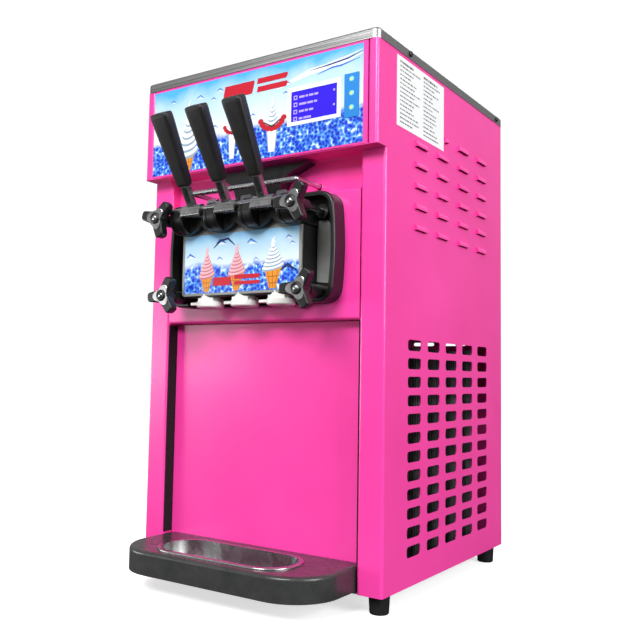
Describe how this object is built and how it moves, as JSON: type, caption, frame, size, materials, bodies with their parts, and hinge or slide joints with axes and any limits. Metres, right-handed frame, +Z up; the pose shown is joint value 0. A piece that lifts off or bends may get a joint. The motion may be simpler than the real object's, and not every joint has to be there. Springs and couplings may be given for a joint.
{
  "type": "soft serve machine",
  "caption": "Countertop soft serve ice cream machine with a front dispensing head, draw levers, top hoppers and a pull-out drip tray.",
  "frame": {"origin": "middle of the whole machine's footprint, at the height of the surface its feet stand on", "axes": "+Z up, -Y towards the person who serves, +X to the right of a person who faces the machine"},
  "size_m": [0.4192, 0.5786, 0.783],
  "materials": {
    "pink_paint": "gloss",
    "brushed_stainless": "brushed",
    "galvanised_sheet": "matt",
    "black_plastic": "satin",
    "charcoal_plastic": "satin",
    "white_plastic": "gloss",
    "clear_lid_plastic": "gloss",
    "printed_film": "gloss",
    "display_glass": "gloss",
    "white_label": "matt",
    "black_rubber": "matt",
    "grey_foam": "matt",
    "copper_pipe": "bright",
    "aluminium_casting": "cast",
    "black_enamel": "gloss",
    "green_circuit_board": "satin",
    "red_rubber": "matt"
  },
  "bodies": {
    "cabinet": {"base_pan": "galvanised_sheet", "feet": "black_rubber", "side_panel_right": "pink_paint", "side_panel_left": "pink_paint", "rear_panel": "pink_paint", "service_panel": "pink_paint", "head_fascia": "pink_paint", "header_panel": "pink_paint", "graphic_overlay": "printed_film", "display_window": "display_glass", "control_board": "green_circuit_board", "top_frame": "brushed_stainless", "panel_screws": "black_enamel", "rating_plate": "white_label", "mains_inlet": "black_plastic", "hopper_right": "brushed_stainless", "hopper_left": "brushed_stainless", "freezing_unit": "brushed_stainless", "insulation": "grey_foam", "gearbox": "aluminium_casting", "drive_belt": "black_rubber", "drive_motor": "aluminium_casting", "compressor": "black_enamel", "condenser": "aluminium_casting", "fan_shroud": "galvanised_sheet", "fan_motor": "black_enamel", "refrigerant_pipes": "copper_pipe", "head_block": "black_plastic", "head_gaskets": "red_rubber", "head_decal": "printed_film", "head_studs": "brushed_stainless", "pivot_rod": "brushed_stainless", "lever_shroud": "black_plastic", "nozzle_caps": "white_plastic"},
    "lever_left": {"lever_arm_left": "brushed_stainless", "grip_left": "black_plastic"},
    "valve_left": {"piston_left": "brushed_stainless"},
    "lever_middle": {"lever_arm_middle": "brushed_stainless", "grip_middle": "black_plastic"},
    "valve_middle": {"piston_middle": "brushed_stainless"},
    "lever_right": {"lever_arm_right": "brushed_stainless", "grip_right": "black_plastic"},
    "valve_right": {"piston_right": "brushed_stainless"},
    "knob_upper_left": {"knob_upper_left": "black_plastic"},
    "knob_upper_right": {"knob_upper_right": "black_plastic"},
    "knob_lower_left": {"knob_lower_left": "black_plastic"},
    "knob_lower_right": {"knob_lower_right": "black_plastic"},
    "button_upper": {"button_upper": "white_plastic"},
    "button_middle": {"button_middle": "white_plastic"},
    "button_lower": {"button_lower": "white_plastic"},
    "hopper_lid_left": {"hopper_lid_left": "clear_lid_plastic"},
    "hopper_lid_right": {"hopper_lid_right": "clear_lid_plastic"},
    "tray": {"tray_body": "charcoal_plastic"},
    "basin": {"drip_basin": "brushed_stainless"},
    "bail": {"switch_bail": "brushed_stainless"},
    "motor_drive": {"motor_pulley": "aluminium_casting"},
    "drive_input": {"input_pulley": "aluminium_casting"},
    "beater_left": {"beater_left": "white_plastic"},
    "beater_right": {"beater_right": "white_plastic"},
    "fan": {"fan_rotor": "aluminium_casting"}
  },
  "joints": [
    {"name": "lever_left_pull", "type": "hinge", "parent": "cabinet", "child": "lever_left", "pos_m": [-0.062, -0.2117, 0.53], "axis": [1, 0, 0], "range_deg": [0, 32]},
    {"name": "valve_left_lift", "type": "slide", "parent": "cabinet", "child": "valve_left", "axis": [0, 0, 1], "range_m": [0, 0.026]},
    {"name": "lever_middle_pull", "type": "hinge", "parent": "cabinet", "child": "lever_middle", "pos_m": [0, -0.2117, 0.53], "axis": [1, 0, 0], "range_deg": [0, 32]},
    {"name": "valve_middle_lift", "type": "slide", "parent": "cabinet", "child": "valve_middle", "axis": [0, 0, 1], "range_m": [0, 0.026]},
    {"name": "lever_right_pull", "type": "hinge", "parent": "cabinet", "child": "lever_right", "pos_m": [0.062, -0.2117, 0.53], "axis": [1, 0, 0], "range_deg": [0, 32]},
    {"name": "valve_right_lift", "type": "slide", "parent": "cabinet", "child": "valve_right", "axis": [0, 0, 1], "range_m": [0, 0.026]},
    {"name": "knob_upper_left_turn", "type": "hinge", "parent": "cabinet", "child": "knob_upper_left", "pos_m": [-0.117, -0.2267, 0.52], "axis": [0, -1, 0], "continuous": true},
    {"name": "knob_upper_right_turn", "type": "hinge", "parent": "cabinet", "child": "knob_upper_right", "pos_m": [0.117, -0.2267, 0.52], "axis": [0, -1, 0], "continuous": true},
    {"name": "knob_lower_left_turn", "type": "hinge", "parent": "cabinet", "child": "knob_lower_left", "pos_m": [-0.117, -0.2267, 0.411], "axis": [0, -1, 0], "continuous": true},
    {"name": "knob_lower_right_turn", "type": "hinge", "parent": "cabinet", "child": "knob_lower_right", "pos_m": [0.117, -0.2267, 0.411], "axis": [0, -1, 0], "continuous": true},
    {"name": "button_upper_press", "type": "slide", "parent": "cabinet", "child": "button_upper", "axis": [0, 1, 0], "range_m": [0, 0.001], "stiffness_N_per_m": 400},
    {"name": "button_middle_press", "type": "slide", "parent": "cabinet", "child": "button_middle", "axis": [0, 1, 0], "range_m": [0, 0.001], "stiffness_N_per_m": 400},
    {"name": "button_lower_press", "type": "slide", "parent": "cabinet", "child": "button_lower", "axis": [0, 1, 0], "range_m": [0, 0.001], "stiffness_N_per_m": 400},
    {"name": "hopper_lid_left_lift", "type": "slide", "parent": "cabinet", "child": "hopper_lid_left", "axis": [0, 0, 1], "range_m": [0, 0.12]},
    {"name": "hopper_lid_right_lift", "type": "slide", "parent": "cabinet", "child": "hopper_lid_right", "axis": [0, 0, 1], "range_m": [0, 0.12]},
    {"name": "tray_slide", "type": "slide", "parent": "cabinet", "child": "tray", "axis": [0, -1, 0], "range_m": [0, 0.1]},
    {"name": "basin_lift", "type": "slide", "parent": "tray", "child": "basin", "axis": [0, 0, 1], "range_m": [0, 0.06]},
    {"name": "bail_press", "type": "slide", "parent": "cabinet", "child": "bail", "axis": [0, 1, 0], "range_m": [0, 0.005], "stiffness_N_per_m": 300},
    {"name": "motor_spin", "type": "hinge", "parent": "cabinet", "child": "motor_drive", "pos_m": [0, 0.207, 0.3], "axis": [0, 1, 0], "continuous": true},
    {"name": "input_spin", "type": "hinge", "parent": "cabinet", "child": "drive_input", "pos_m": [0, 0.207, 0.43], "axis": [0, 1, 0], "continuous": true},
    {"name": "beater_left_spin", "type": "hinge", "parent": "cabinet", "child": "beater_left", "pos_m": [-0.062, 0, 0.455], "axis": [0, 1, 0], "continuous": true},
    {"name": "beater_right_spin", "type": "hinge", "parent": "cabinet", "child": "beater_right", "pos_m": [0.062, 0, 0.455], "axis": [0, 1, 0], "continuous": true},
    {"name": "fan_spin", "type": "hinge", "parent": "cabinet", "child": "fan", "pos_m": [0.125, 0.065, 0.195], "axis": [1, 0, 0], "continuous": true}
  ],
  "couplings": [
    {"joint": "valve_left_lift", "follows": "lever_left_pull", "m_per_rad": 0.0455},
    {"joint": "valve_middle_lift", "follows": "lever_middle_pull", "m_per_rad": 0.0455},
    {"joint": "valve_right_lift", "follows": "lever_right_pull", "m_per_rad": 0.0455},
    {"joint": "motor_spin", "follows": "input_spin", "ratio": 2.5},
    {"joint": "beater_left_spin", "follows": "input_spin", "ratio": -0.4},
    {"joint": "beater_right_spin", "follows": "input_spin", "ratio": 0.4}
  ]
}
